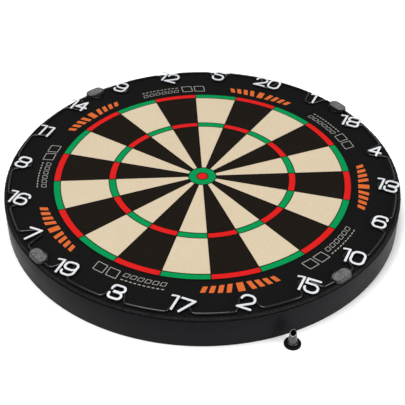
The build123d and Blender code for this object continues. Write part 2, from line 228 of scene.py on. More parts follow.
def copied(piece, name, turn=0.0):
    """A copy with its own mesh, turned about the board's axis."""
    pick(piece)
    bpy.ops.object.duplicate()
    copy = bpy.context.object
    copy.name = name
    copy.data.name = name
    copy.rotation_euler.z = turn
    apply_place()
    return copy


def placed(piece, place, turn):
    """Turn a piece about the origin, then move it to its place, all in its mesh."""
    pick(piece)
    piece.rotation_euler = turn
    piece.location = place
    apply_place()
    return piece


def merged_copy(node, name):
    """A copy of a CAD piece with its triangles joined into whole faces, left in edit mode."""
    pick(frame["nodes"][node])
    bpy.ops.object.duplicate()
    piece = bpy.context.object
    piece.parent = None
    for key in list(piece.keys()):
        del piece[key]
    piece.name = name
    piece.data.name = name
    bpy.ops.object.mode_set(mode="EDIT")
    bpy.ops.mesh.select_all(action="SELECT")
    bpy.ops.mesh.remove_doubles(threshold=CAD_MERGE_NEAR)
    bpy.ops.mesh.dissolve_limited(angle_limit=math.radians(1))
    return piece


def spread(piece, count):
    """Repeat the piece's whole mesh evenly round the board."""
    pick(piece)
    bpy.ops.object.mode_set(mode="EDIT")
    bpy.ops.mesh.select_all(action="SELECT")
    turn = 2 * math.pi * (count - 1) / count
    bpy.ops.mesh.spin(steps=count - 1, dupli=True, angle=turn, center=(0, 0, 0), axis=(0, 0, 1))
    bpy.ops.mesh.select_all(action="SELECT")
    bpy.ops.mesh.normals_make_consistent(inside=False)
    bpy.ops.object.mode_set(mode="OBJECT")
    return piece


# ---------------------------------------------------------------- shader groups


def srgb(*levels):
    """A colour given as 0 to 255 screen levels, as the shader's linear values."""
    linear = []
    for level in levels:
        c = level / 255
        linear.append(c / 12.92 if c <= 0.04045 else ((c + 0.055) / 1.055) ** 2.4)
    return (*linear, 1.0)


def new_group(name, inputs, outputs):
    """An empty shader node group with named float or vector inputs and float outputs."""
    group = bpy.data.node_groups.new(name, "ShaderNodeTree")
    for label, kind, value in inputs:
        socket = group.interface.new_socket(label, in_out="INPUT", socket_type=kind)
        if value is not None:
            socket.default_value = value
    for label in outputs:
        group.interface.new_socket(label, in_out="OUTPUT", socket_type="NodeSocketFloat")
    start = group.nodes.new("NodeGroupInput")
    end = group.nodes.new("NodeGroupOutput")
    return group, start, end


def noise(group, place, scale, detail, roughness=0.5):
    node = group.nodes.new("ShaderNodeTexNoise")
    node.inputs["Detail"].default_value = detail
    node.inputs["Roughness"].default_value = roughness
    group.links.new(place, node.inputs["Vector"])
    if isinstance(scale, (int, float)):
        node.inputs["Scale"].default_value = scale
    else:
        group.links.new(scale, node.inputs["Scale"])
    return node.outputs["Fac"]


def math_node(group, operation, *values):
    node = group.nodes.new("ShaderNodeMath")
    node.operation = operation
    for socket, value in zip(node.inputs, values):
        if isinstance(value, (int, float)):
            socket.default_value = value
        else:
            group.links.new(value, socket)
    return node.outputs[0]


def ramp(group, value, low, high):
    """Stretch a value so that low becomes 0 and high becomes 1, smoothly."""
    node = group.nodes.new("ShaderNodeMapRange")
    node.interpolation_type = "SMOOTHSTEP"
    node.inputs["From Min"].default_value = low
    node.inputs["From Max"].default_value = high
    group.links.new(value, node.inputs["Value"])
    return node.outputs["Result"]


def fibre_group():
    """Packed fibre ends: small round ends, clumped, with painted shade in the pits between them."""
    inputs = [("Vector", "NodeSocketVector", None), ("Pitch", "NodeSocketFloat", 1400.0)]
    group, start, end = new_group("fibre_ends", inputs, ("Mask", "Height"))
    place, pitch = start.outputs["Vector"], start.outputs["Pitch"]
    cells = group.nodes.new("ShaderNodeTexVoronoi")
    group.links.new(place, cells.inputs["Vector"])
    group.links.new(pitch, cells.inputs["Scale"])
    # Each fibre end is light at its middle and falls to painted shade in the pit round it.
    tips_and_pit_shade = ramp(group, cells.outputs["Distance"], 0.75, 0.1)
    clumps = noise(group, place, math_node(group, "MULTIPLY", pitch, 0.22), 3.0)
    broad = noise(group, place, 45.0, 2.0)
    mixed = math_node(group, "MULTIPLY_ADD", tips_and_pit_shade, 0.35, math_node(group, "MULTIPLY", clumps, 0.4))
    mixed = math_node(group, "MULTIPLY_ADD", broad, 0.25, mixed)
    group.links.new(mixed, end.inputs["Mask"])
    height = math_node(group, "MULTIPLY_ADD", clumps, 0.6, math_node(group, "MULTIPLY", tips_and_pit_shade, 0.4))
    group.links.new(height, end.inputs["Height"])
    return group


def paint_group():
    """Sprayed paint: a fine pebbled skin, with faint broad smears in its sheen."""
    inputs = [("Vector", "NodeSocketVector", None), ("Pebble", "NodeSocketFloat", 900.0)]
    group, start, end = new_group("sprayed_skin", inputs, ("Mask", "Height"))
    place = start.outputs["Vector"]
    pebble = noise(group, place, start.outputs["Pebble"], 2.0)
    smear = ramp(group, noise(group, place, 22.0, 5.0, 0.62), 0.38, 0.72)
    group.links.new(smear, end.inputs["Mask"])
    group.links.new(pebble, end.inputs["Height"])
    return group


def metal_group():
    """Drawn or plated metal: fine lines across the height, and specks of dulled plating."""
    inputs = [("Vector", "NodeSocketVector", None), ("Grain", "NodeSocketFloat", 300.0)]
    group, start, end = new_group("plated_metal", inputs, ("Mask", "Height"))
    place = start.outputs["Vector"]
    stretch = group.nodes.new("ShaderNodeVectorMath")
    stretch.operation = "MULTIPLY"
    stretch.inputs[1].default_value = (0.15, 0.15, 6.0)
    group.links.new(place, stretch.inputs[0])
    lines = noise(group, stretch.outputs["Vector"], start.outputs["Grain"], 3.0)
    specks = ramp(group, noise(group, place, 700.0, 4.0, 0.7), 0.5, 0.78)
    mask = math_node(group, "MULTIPLY_ADD", lines, 0.5, math_node(group, "MULTIPLY", specks, 0.5))
    group.links.new(mask, end.inputs["Mask"])
    group.links.new(lines, end.inputs["Height"])
    return group


def chip_group():
    """Pressed wood chips: flat flakes of several tones that lie every way."""
    inputs = [("Vector", "NodeSocketVector", None), ("Chips", "NodeSocketFloat", 160.0)]
    group, start, end = new_group("wood_chips", inputs, ("Mask", "Height"))
    place = start.outputs["Vector"]
    flakes = group.nodes.new("ShaderNodeTexVoronoi")
    flakes.inputs["Randomness"].default_value = 1.0
    group.links.new(place, flakes.inputs["Vector"])
    group.links.new(start.outputs["Chips"], flakes.inputs["Scale"])
    tone = math_node(group, "MULTIPLY", flakes.outputs["Color"], 0.6)
    grain = noise(group, place, 420.0, 5.0, 0.6)
    mask = math_node(group, "MULTIPLY_ADD", grain, 0.4, tone)
    group.links.new(mask, end.inputs["Mask"])
    group.links.new(grain, end.inputs["Height"])
    return group


fibres = fibre_group()
sprayed = paint_group()
plated = metal_group()
chips = chip_group()

# ---------------------------------------------------------------- materials


def material(name, group, knob, colours, rough, bump, **sockets):
    """A finish whose colour, roughness and bump all follow one effect group.

    knob is the group's own (input, value), colours and rough are the values at a mask of
    0 and 1, and bump is the height in metres at full strength.
    """
    made = bpy.data.materials.new(name)
    made.use_nodes = True
    tree = made.node_tree
    shader = tree.nodes["Principled BSDF"]
    where = tree.nodes.new("ShaderNodeTexCoord")
    effect = tree.nodes.new("ShaderNodeGroup")
    effect.node_tree = group
    effect.inputs[knob[0]].default_value = knob[1]
    tree.links.new(where.outputs["Object"], effect.inputs["Vector"])
    blend = tree.nodes.new("ShaderNodeMix")
    blend.data_type = "RGBA"
    ends = [socket for socket in blend.inputs if socket.type == "RGBA"]
    for socket, colour in zip(ends, colours):
        socket.default_value = colour
    tree.links.new(effect.outputs["Mask"], blend.inputs[0])
    mixed = next(socket for socket in blend.outputs if socket.type == "RGBA")
    tree.links.new(mixed, shader.inputs["Base Color"])
    sheen = tree.nodes.new("ShaderNodeMapRange")
    sheen.inputs["To Min"].default_value = rough[0]
    sheen.inputs["To Max"].default_value = rough[1]
    tree.links.new(effect.outputs["Mask"], sheen.inputs["Value"])
    tree.links.new(sheen.outputs["Result"], shader.inputs["Roughness"])
    relief = tree.nodes.new("ShaderNodeBump")
    relief.inputs["Strength"].default_value = 1.0
    relief.inputs["Distance"].default_value = bump
    tree.links.new(effect.outputs["Height"], relief.inputs["Height"])
    tree.links.new(relief.outputs["Normal"], shader.inputs["Normal"])
    for label, value in sockets.items():
        shader.inputs[label.replace("_", " ")].default_value = value
    return made


def sisal(name, dark, light, pitch=1400.0, bump=0.08 * MM, **sockets):
    """Dyed sisal: matt fibre ends in two tones of one dye, mixed in random clumps, with the darker tone
    also laid in the pits between the ends as painted shade.
    """
    values = {"Specular_IOR_Level": 0.05, **sockets}
    colours = (srgb(*dark), srgb(*light))
    return material(name, fibres, ("Pitch", pitch), colours, (0.95, 0.8), bump, **values)


cream_sisal = sisal("sisal_cream", (169, 154, 130), (190, 176, 152))
black_sisal = sisal("sisal_black", (13, 9, 6), (26, 21, 16))
red_sisal = sisal("sisal_red", (168, 17, 16), (192, 29, 27))
green_sisal = sisal("sisal_green", (0, 111, 58), (0, 133, 71))
surround_sisal = sisal("sisal_surround", (9, 8, 8), (19, 18, 18))
# The shoulder runs from pure black to grey: painted glints on its fibre ends and painted shade in the
# pits between them.
shoulder_painted_glints_and_shade = sisal("sisal_shoulder_painted_glints_and_shade", (0, 0, 0), (42, 42, 43), 520.0, 0.4 * MM)
orange_ink = sisal("ink_orange", (164, 72, 28), (196, 100, 50))
grey_ink = sisal("ink_grey", (126, 124, 118), (154, 152, 146))


def coated(name, base, smeared, rough, pebble=900.0, bump=0.01 * MM, **sockets):
    """Paint or moulded plastic with a pebbled skin."""
    colours = (srgb(*base), srgb(*smeared))
    return material(name, sprayed, ("Pebble", pebble), colours, rough, bump, **sockets)


band_paint = coated(
    "band_paint", (14, 14, 17), (20, 20, 23), (0.42, 0.54), 1500.0, Specular_IOR_Level=0.06
)
wire_coat = coated("wire_coat", (4, 4, 4), (9, 9, 9), (0.08, 0.14), 1800.0, 0.002 * MM)
numeral_paint = coated("numeral_paint", (184, 187, 191), (198, 200, 203), (0.34, 0.46), 1200.0)
# The cap's grey plastic in two copies: this near-black one is painted shade for the cap's sides, the
# next one is its lit top, light grey with painted mottled light and shade.
cap_plastic = coated("cap_plastic", (22, 22, 23), (38, 38, 39), (0.3, 0.42), 1600.0)
cap_painted_lit_mottle = sisal("cap_painted_lit_mottle", (0, 0, 0), (134, 135, 136), 620.0, 0.2 * MM)
flange_plastic = coated("flange_plastic", (5, 5, 6), (10, 10, 11), (0.45, 0.6), Specular_IOR_Level=0.05)


def metal(name, dull, bright, rough, grain=300.0, bump=0.006 * MM, **sockets):
    """Bare or plated metal."""
    values = {"Metallic": 1.0, **sockets}
    colours = (srgb(*dull), srgb(*bright))
    return material(name, plated, ("Grain", grain), colours, rough, bump, **values)


blade_steel = metal("blade_steel", (22, 20, 18), (46, 44, 42), (0.45, 0.3))
zinc_plate = metal("zinc_plate", (64, 61, 64), (118, 114, 118), (0.36, 0.18))
nickel_plate = metal("nickel_plate", (170, 170, 174), (208, 208, 212), (0.3, 0.16))
chipboard = material(
    "chipboard",
    chips,
    ("Chips", 160.0),
    (srgb(128, 98, 62), srgb(196, 164, 118)),
    (0.9, 0.7),
    0.12 * MM,
    Specular_IOR_Level=0.2,
)


def dress(piece, finish, body, slot, *replaced):
    """Give a new piece its finish, its body and the CAD nodes it stands for; the slot is not used."""
    piece.data.materials.clear()
    piece.data.materials.append(finish)
    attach(piece, body)
    if replaced:
        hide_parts(*replaced)
    return piece


# ---------------------------------------------------------------- sisal: the playing disc


HOLE_STEPS = 64
CUTTER_REACH = 2 * MM     # a cutter stands this far out of the face
SPOT_ROOM = 0.25 * MM     # gap round a flange
PIN_HOLE_RADIUS = 5.0 * MM
PIN_ROOM = 0.5 * MM       # gap under a pin
DISC_HUB = 4 * MM         # the disc's outline starts here, and is closed across it
EDGE_FOOT = 2 * MM        # where the disc's side leaves the band, below the band's top
EDGE_BEND = (0.3 * MM, 2.6 * MM)
# The disc's upper edge: how far in from the rim, and how far below the face.
DISC_EDGE = (
    (2.4 * MM, 1.2 * MM),
    (3.6 * MM, 0.45 * MM),
    (5.4 * MM, 0.0),
    (20 * MM, 0.0),
    (38 * MM, 0.0),
)
# The eased step round the beds: how far out from them, and how far below the face.
BED_STEP = ((0.4 * MM, 0.0), (0.1 * MM, 0.15 * MM), (0.0, 0.5 * MM))


def hole_cutter(centre, radius, bottom):
    """A cylinder from a hole's bottom to past the face."""
    depth = face + CUTTER_REACH - bottom
    place = (centre.x, centre.y, bottom + depth / 2)
    clear_selection()
    bpy.ops.mesh.primitive_cylinder_add(
        vertices=HOLE_STEPS, radius=radius, depth=depth, location=place
    )
    apply_place()
    return bpy.context.object


def anchor_cutters():
    """Two sets of cutters: the flanges' spot faces, and the deep holes of the pins."""
    wide, deep = [], []
    for number in range(1, ANCHORS + 1):
        low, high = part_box(f"anchor_flange_{number}")
        centre = (low + high) / 2
        wide.append(hole_cutter(centre, (high.x - low.x) / 2 + SPOT_ROOM, low.z))
        pin_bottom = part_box(f"anchor_pin_{number}")[0].z - PIN_ROOM
        deep.append(hole_cutter(centre, PIN_HOLE_RADIUS, pin_bottom))
    return join("spot_cutters", *wide), join("pin_cutters", *deep)


def make_core():
    """The pressed disc: a sunk middle that carries the beds, and the flat black surround."""
    sunk = face - BED_DEPTH + BED_CROWN
    step = double[1] + bed_edge_gap
    bend_in, bend_drop = EDGE_BEND
    outline = [
        (DISC_HUB, core_bottom),
        (core_radius / 2, core_bottom),
        (core_radius, core_bottom),
        (core_radius, band_top - EDGE_FOOT),
        (core_radius - bend_in, face - bend_drop),
    ]
    outline += [(board_radius - inset, face - drop) for inset, drop in DISC_EDGE]
    outline += [(step + outset, face - drop) for outset, drop in BED_STEP]
    outline += [(step, sunk), (step / 2, sunk), (DISC_HUB, sunk)]
    core = turned("sisal_disc", outline, ends="fill")
    for cutter in anchor_cutters():
        cut(core, cutter)
    smoothed(core)
    return dress(core, surround_sisal, "board", "sisal", "sisal_core")


BEAD_STEPS = 900          # sides round the board, fine enough for the tufts
BEAD_ROUNDS = 14          # steps over the bead
BEAD_START = -48          # degrees above level, on the bead's outer side
BEAD_SWEEP = 150
BEAD_INSET = 2.3 * MM     # from the rim to the bead's middle
BEAD_OUT = 2.0 * MM       # half width, outwards and inwards
BEAD_IN = 3.9 * MM
BEAD_RISE = 1.55 * MM
BEAD_SINK = 0.1 * MM      # the bead's top stays this far below the face
BEAD_TUCK = (0.3 * MM, 1.4 * MM)
TUFTS = ((1.0 * MM, 0.8 * MM), (2.6 * MM, 0.4 * MM))     # size and height
TUFT_LEVEL = 0.55         # more than half, so that the tufts sink more than they rise


def make_shoulder():
    """The torn fibre bead round the edge, between the flat face and the band."""
    outline = []
    for index in range(BEAD_ROUNDS + 1):
        a = math.radians(BEAD_START + BEAD_SWEEP * index / BEAD_ROUNDS)
        reach = BEAD_IN if a > math.pi / 2 else BEAD_OUT
        radius = board_radius - BEAD_INSET + reach * math.cos(a)
        outline.append((radius, face - BEAD_RISE - BEAD_SINK + BEAD_RISE * math.sin(a)))
    tuck_out, tuck_drop = BEAD_TUCK
    outline.append((outline[-1][0] + tuck_out, face - tuck_drop))
    bead = turned("shoulder_fibres", outline, steps=BEAD_STEPS, angle=80.0)
    pick(bead)
    for size, height in TUFTS:
        tufts = bpy.data.textures.new("tufts", "CLOUDS")
        tufts.noise_scale = size
        tufts.noise_depth = 1
        ruffle = bead.modifiers.new("ruffle", "DISPLACE")
        ruffle.texture = tufts
        ruffle.texture_coords = "LOCAL"
        ruffle.mid_level = TUFT_LEVEL
        ruffle.strength = height
        bpy.ops.object.modifier_apply(modifier=ruffle.name)
    return dress(bead, shoulder_painted_glints_and_shade, "board", "sisal")


def bed(name, inner, outer, bearing):
    """One segment of the face, trimmed parallel to the blades at its sides."""
    clear_selection()
    top = face + BED_CROWN
    inner += bed_edge_gap
    outer -= bed_edge_gap
    bpy.ops.mesh.primitive_circle_add(vertices=ROUND_STEPS, radius=inner, location=(0, 0, top))
    piece = open_piece(name)
    bpy.ops.mesh.extrude_edges_indiv()
    grow(outer / inner, outer / inner, (0, 0, top))
    for side in (-1, 1):
        a = math.pi / 2 - bearing + side * SECTOR / 2
        outward = Vector((-math.sin(a), math.cos(a), 0)) * side
        bpy.ops.mesh.select_all(action="SELECT")
        bpy.ops.mesh.bisect(
            plane_co=-outward * bed_edge_gap, plane_no=outward, clear_outer=True
        )
    bpy.ops.mesh.select_all(action="SELECT")
    bpy.ops.mesh.extrude_region_move(TRANSFORM_OT_translate={"value": (0, 0, -BED_DEPTH)})
    return close_piece(piece)


def make_beds(name, finish, rings, first, extra=()):
    """Ten sectors' beds of one colour, each sector two bearings from the last."""
    beds = [bed(f"{name}_bed", inner, outer, first) for inner, outer in rings]
    piece = spread(join(name, *beds), SECTORS // 2)
    if extra:
        piece = join(name, piece, *extra)
    bevelled(piece, BED_EDGE, 2)
    return dress(piece, finish, "board", "sisal")


BULL_STEPS = 96
BULL_HUB = 2 * MM         # the red disc's outline starts here, and is closed across it


def bull_beds():
    """The green ring and the red disc in the middle."""
    top = face + BED_CROWN
    base = top - BED_DEPTH
    inner, outer = bull + bed_edge_gap, outer_bull - bed_edge_gap
    outline = [(inner, base), (inner, top), (outer, top), (outer, base)]
    ring = turned("bull_ring", outline, steps=BULL_STEPS)
    spot = bull - bed_edge_gap
    outline = [(BULL_HUB, base), (spot, base), (spot, top), (BULL_HUB, top)]
    disc = turned("bull_spot", outline, ends="fill", steps=BULL_STEPS)
    return ring, disc


make_core()
make_shoulder()
singles = [(outer_bull, treble[0]), (treble[1], double[0])]
scoring = [tuple(treble), tuple(double)]
bull_ring, bull_spot = bull_beds()
make_beds("black_beds", black_sisal, singles, 0.0)
make_beds("cream_beds", cream_sisal, singles, SECTOR)
make_beds("red_beds", red_sisal, scoring, 0.0, (bull_spot,))
make_beds("green_beds", green_sisal, scoring, SECTOR, (bull_ring,))

# ---------------------------------------------------------------- ornaments in ink

INK_RADIUS = 184.0 * MM
INK_FILM = 0.06 * MM
INK_CORNER = 0.6 * MM
ORNAMENTS = 5             # of each kind round the board
LOZENGE = {"width": 7.4 * MM, "height": 12.6 * MM, "lean": 0.0}
BAR_WIDTH = 5.2 * MM
BAR_HEIGHT = 13.0 * MM
BAR_SHRINK = 1.1 * MM     # each bar is this much shorter than the one before
BAR_LEAN = 3.2 * MM
BAR_START = 1.2 * MM
BAR_PITCH = 8.6 * MM
BARS = 4                  # each side of the lozenge
LARGE_FRAME = {"width": 13.0 * MM, "height": 12.4 * MM, "lean": -1.6 * MM, "line": 0.8 * MM}
SMALL_FRAME = {
    "width": 5.9 * MM,
    "height": 5.6 * MM,
    "lean": 1.4 * MM,
    "line": 0.6 * MM,
    "rise": -3.2 * MM,
}
DASH = {"width": 3.0 * MM, "height": 1.2 * MM, "lean": 0.5 * MM, "rise": 4.2 * MM}


def leaning_bar(name, width, height, lean, line=0.0, rise=0.0):
    """A leaning bar with eased corners, filled or drawn as an outline of the line's width."""
    clear_selection()
    middle_y = INK_RADIUS + rise
    bpy.ops.mesh.primitive_plane_add(size=1, location=(0, middle_y, face))
    piece = open_piece(name)
    grow(width, height, (0, middle_y, face))
    select_where(piece, "vertices", lambda v: v.co.y > 0)
    bpy.ops.transform.translate(value=(lean, 0, 0))
    bpy.ops.mesh.select_all(action="SELECT")
    corner = min(INK_CORNER, height / 4)
    bpy.ops.mesh.bevel(offset=corner, segments=3, affect="VERTICES")
    if line:
        bpy.ops.mesh.select_mode(type="FACE")
        bpy.ops.mesh.select_all(action="SELECT")
        bpy.ops.mesh.inset(thickness=line)
        bpy.ops.mesh.delete(type="FACE")
    bpy.ops.mesh.select_all(action="SELECT")
    bpy.ops.mesh.extrude_region_move(TRANSFORM_OT_translate={"value": (0, 0, INK_FILM)})
    return close_piece(piece)


def along_rim(piece, distance):
    """Slide a piece round the board by a distance measured at the ornaments' radius."""
    pick(piece)
    piece.rotation_euler.z = -distance / INK_RADIUS
    apply_place()
    return piece


def orange_ornament():
    """A lozenge with leaning bars each side of it, growing shorter outwards."""
    shapes = [leaning_bar("ink_lozenge", **LOZENGE)]
    for side in (-1, 1):
        for step in range(1, BARS + 1):
            height = BAR_HEIGHT - BAR_SHRINK * step
            bar = leaning_bar("ink_bar", BAR_WIDTH, height, side * BAR_LEAN)
            shapes.append(along_rim(bar, side * (BAR_START + BAR_PITCH * step)))
    return join("orange_ornaments", *shapes)


def ink_row(name, shape, count, first, pitch):
    """Equal bars in a row round the board, from the first one's distance along the rim."""
    bars = []
    for step in range(count):
        bars.append(along_rim(leaning_bar(name, **shape), first + pitch * step))
    return bars


def grey_ornament():
    """Two large outlined bars, then a row of small outlined bars under a row of dashes."""
    shapes = ink_row("ink_frame", LARGE_FRAME, 2, 19.5 * MM, 16.0 * MM)
    shapes += ink_row("ink_frame", SMALL_FRAME, 6, 3.5 * MM, -8.2 * MM)
    shapes += ink_row("ink_dash", DASH, 10, 5.5 * MM, -4.8 * MM)
    return join("grey_ornaments", *shapes)


def make_ornaments(piece, finish, turn):
    """One kind of ornament, repeated evenly round the surround."""
    pick(piece)
    piece.rotation_euler.z = turn
    apply_place()
    spread(piece, ORNAMENTS)
    return dress(piece, finish, "board", "sisal")


make_ornaments(orange_ornament(), orange_ink, 0.0)
make_ornaments(grey_ornament(), grey_ink, math.pi / ORNAMENTS)

# ---------------------------------------------------------------- rim band


BAND_ROLL = 0.45 * MM     # radius of the band's rounded edges
BAND_STEPS = 360


def make_band():
    """The painted hoop, its two edges rolled round."""
    roll = BAND_ROLL
    outer, inner = board_radius, board_radius - BAND_WALL
    outline = []
    corners = (
        (outer - roll, roll, -90),
        (outer - roll, band_top - roll, 0),
        (inner + roll, band_top - roll, 90),
        (inner + roll, roll, 180),
    )
    for radius, height, start in corners:
        for step in range(4):
            a = math.radians(start + 30 * step)
            outline.append((radius + roll * math.cos(a), height + roll * math.sin(a)))
    band = turned("painted_band", outline, steps=BAND_STEPS, angle=50.0)
    return dress(band, band_paint, "board", "band_paint", "rim_band")


make_band()

# ---------------------------------------------------------------- numerals

PAINT_ROUNDING = 0.28 * MM


def make_numeral(node):
    """A numeral with the slight rounding of a pressed and painted plate."""
    piece = merged_copy(node, f"painted_{node}")
    close_piece(piece)
    bevelled(piece, PAINT_ROUNDING, 3, SHARP_EDGE)
    return dress(piece, numeral_paint, "number_ring", "numeral_paint", node)


for node_name in sorted(frame["nodes"]):
    if node_name.startswith("numeral_"):
        make_numeral(node_name)

# ---------------------------------------------------------------- caps

CAP_LENGTH = 23.4 * MM
CAP_WIDTH = 13.4 * MM
CAP_END_STEPS = 48
CAP_LIP = 0.4 * MM
CAP_LIP_HEIGHT = 0.9 * MM
CAP_ROUNDING = 0.7 * MM
CAP_BORDER = 0.15 * MM    # flat border between the rounding and the sunk panel
LARGE_FACE = 50 * MM * MM  # only a cap's whole top or bottom is larger than this
SAME_HEIGHT = 0.01 * MM
WIRE_ROOM = 0.3 * MM      # air round the wire in a cap
CUT_BELOW = 1.0 * MM      # a cap's cutters start this far under it
POCKET_RADIUS = 2.35 * MM
POCKET_STEPS = 32
PANEL_DEPTH = 0.45 * MM
PANEL_SIDE = 0.1 * MM     # slope of the sunk panel's side
PANEL_PLATE = 0.1 * MM    # thickness of the mottled plate
PANEL_LIFT = 0.05 * MM    # its top stands this far above the sunk floor
PANEL_LENGTH = CAP_LENGTH - 2 * (CAP_ROUNDING + CAP_BORDER)
PANEL_WIDTH = CAP_WIDTH - 2 * (CAP_ROUNDING + CAP_BORDER)
STUD_PITCH = 1.25 * MM
STUD_FOOT = 0.66 * STUD_PITCH
STUD_TIP = 0.2 * STUD_PITCH
STUD_HEIGHT = 0.3 * MM
STUD_SINK = 0.02 * MM


def stadium(name, length, width, height, place):
    """A flat bar with round ends, its long side along X."""
    clear_selection()
    bpy.ops.mesh.primitive_circle_add(
        vertices=CAP_END_STEPS, radius=width / 2, fill_type="NGON", location=place
    )
    piece = open_piece(name)
    for side in (-1, 1):
        select_where(piece, "vertices", lambda v: v.co.x * side > SAME_HEIGHT)
        bpy.ops.transform.translate(value=(side * (length - width) / 2, 0, 0))
    bpy.ops.mesh.select_all(action="SELECT")
    bpy.ops.mesh.extrude_region_move(TRANSFORM_OT_translate={"value": (0, 0, height)})
    return piece


def repeated(piece, count, step):
    """Repeat a piece in a row, in its own mesh."""
    row = piece.modifiers.new("row", "ARRAY")
    row.count = count
    row.use_relative_offset = False
    row.use_constant_offset = True
    row.constant_offset_displace = step
    bpy.ops.object.modifier_apply(modifier=row.name)


def cap_studs(centre, base):
    """A field of small four-sided points that fills the cap's sunk panel."""
    across, down = int(PANEL_LENGTH / STUD_PITCH), int(PANEL_WIDTH / STUD_PITCH)
    first = (
        centre.x - STUD_PITCH * (across - 1) / 2,
        centre.y - STUD_PITCH * (down - 1) / 2,
        base + STUD_HEIGHT / 2 - STUD_SINK,
    )
    clear_selection()
    bpy.ops.mesh.primitive_cone_add(
        vertices=4, radius1=STUD_FOOT, radius2=STUD_TIP, depth=STUD_HEIGHT, location=first
    )
    studs = bpy.context.object
    apply_place()
    repeated(studs, across, (STUD_PITCH, 0, 0))
    repeated(studs, down, (0, STUD_PITCH, 0))
    straight = (PANEL_LENGTH - PANEL_WIDTH) / 2

    def outside(vertex):
        x, y = vertex.co.x - centre.x, vertex.co.y - centre.y
        past = max(abs(x) - straight, 0.0)
        return math.hypot(past, y) > PANEL_WIDTH / 2

    bpy.ops.object.mode_set(mode="EDIT")
    select_where(studs, "vertices", outside)
    bpy.ops.mesh.select_linked()
    bpy.ops.mesh.delete(type="VERT")
    bpy.ops.object.mode_set(mode="OBJECT")
    return studs


def cap_panel(centre, base):
    """The mottled panel that shows in the top of a cap, with its studs."""
    plate = stadium("cap_panel", PANEL_LENGTH, PANEL_WIDTH, PANEL_PLATE, centre)
    close_piece(plate)
    return join("cap_panel", plate, cap_studs(centre, base))


def select_level_face(piece, height):
    """Select the large face that looks up at this height."""

    def level(polygon):
        near = abs(piece.location.z + polygon.center.z - height) < SAME_HEIGHT
        return polygon.normal.z > 0.9 and polygon.area > LARGE_FACE and near

    select_where(piece, "polygons", level)


def groove_cutter(bottom):
    """A ring that clears the wire under a cap."""
    low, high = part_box("number_ring_wire")
    wire_radius = (high.z - low.z) / 2
    ring = outer_radius("number_ring_wire") - wire_radius
    reach = wire_radius + WIRE_ROOM
    roof = high.z + WIRE_ROOM
    outline = [
        (ring - reach, bottom - CUT_BELOW),
        (ring + reach, bottom - CUT_BELOW),
        (ring + reach, roof),
        (ring - reach, roof),
    ]
    return turned("groove_cutter", outline)


def pocket_cutter(bottom):
    """A cylinder that clears the magnet under a cap."""
    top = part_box("magnet_1")[1].z
    place = (0, middle("magnet_1").xy.length, (top + bottom - CUT_BELOW) / 2)
    clear_selection()
    bpy.ops.mesh.primitive_cylinder_add(
        vertices=POCKET_STEPS, radius=POCKET_RADIUS, depth=top - bottom + CUT_BELOW, location=place
    )
    apply_place()
    return bpy.context.object


def cap_body(centre, bottom, top):
    """A cap: a lip, a rounded body, a sunk panel, the wire's groove and the magnet's pocket."""
    length, width = CAP_LENGTH + 2 * CAP_LIP, CAP_WIDTH + 2 * CAP_LIP
    piece = stadium("grey_cap", length, width, CAP_LIP_HEIGHT, centre)
    bpy.ops.mesh.select_all(action="SELECT")
    bpy.ops.mesh.normals_make_consistent(inside=False)
    select_level_face(piece, bottom + CAP_LIP_HEIGHT)
    bpy.ops.mesh.inset(thickness=CAP_LIP)
    rise = top - bottom - CAP_LIP_HEIGHT
    bpy.ops.mesh.extrude_region_move(TRANSFORM_OT_translate={"value": (0, 0, rise)})
    bpy.ops.mesh.bevel(offset=CAP_ROUNDING, segments=5, affect="EDGES")
    select_level_face(piece, top)
    bpy.ops.mesh.inset(thickness=CAP_BORDER)
    bpy.ops.mesh.inset(thickness=PANEL_SIDE, depth=-PANEL_DEPTH)
    close_piece(piece, 40.0)
    cut(piece, groove_cutter(bottom))
    return cut(piece, pocket_cutter(bottom))


def make_caps():
    """Four caps over the wire, each with its panel: the body in the grey painted as shade, the panel in
    the grey painted as the lit top.
    """
    low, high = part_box("cap_1")
    distance = middle("cap_1").xy.length
    body = cap_body(Vector((0, distance, low.z)), low.z, high.z)
    panel_base = high.z - PANEL_DEPTH + PANEL_LIFT
    panel = cap_panel(Vector((0, distance, panel_base - PANEL_PLATE)), panel_base)
    smoothed(body)
    smoothed(panel)
    for number in range(1, ANCHORS + 1):
        node = f"cap_{number}"
        place = middle(node)
        turn = math.atan2(place.y, place.x) - math.pi / 2
        # The body takes the cap's grey painted in shade, the panel the same grey painted lit and
        # mottled.
        dress(copied(body, f"grey_{node}", turn), cap_plastic, node, "cap_plastic", node)
        dress(copied(panel, f"panel_{node}", turn), cap_painted_lit_mottle, node, "cap_plastic")
    pick(body, panel)
    bpy.ops.object.delete()


make_caps()

# ---------------------------------------------------------------- anchors

FLANGE_STEPS = 72
FLANGE_ROLL = 0.9 * MM    # radius of the flange's rounded rim
FLANGE_HOLE = 3.85 * MM
HEAD_ROOM = 6.15 * MM     # radius of the recess for the pin's head
HEAD_THICKNESS = 0.8 * MM
GROOVE_RADII = (5.9 * MM, 6.1 * MM, 7.0 * MM, 7.2 * MM)
GROOVE_DEPTH = 0.3 * MM
PIN_STEPS = 64
PIN_HUB = 1.0 * MM        # the pin's outline starts here, and is closed across it
PIN_BORE = 2.45 * MM
PIN_NECK = 3.7 * MM
PIN_ROOT = 4.9 * MM
PIN_TIP = 3.3 * MM
PIN_HEAD = 6.0 * MM
PIN_FLOOR = 1.0 * MM      # the bore's floor lies this far under the collar
PIN_COLLAR = 5.6 * MM
COLLAR_HEIGHT = 1.2 * MM
COLLAR_EASE = 0.2 * MM
MOUTH_LENGTH = 9.0 * MM   # the bore flares over this length
MOUTH_LIP = 0.35 * MM
PIN_SLANT = 3.8 * MM      # the slanted tip is this much shorter on one side
PIN_EASE = 0.15 * MM


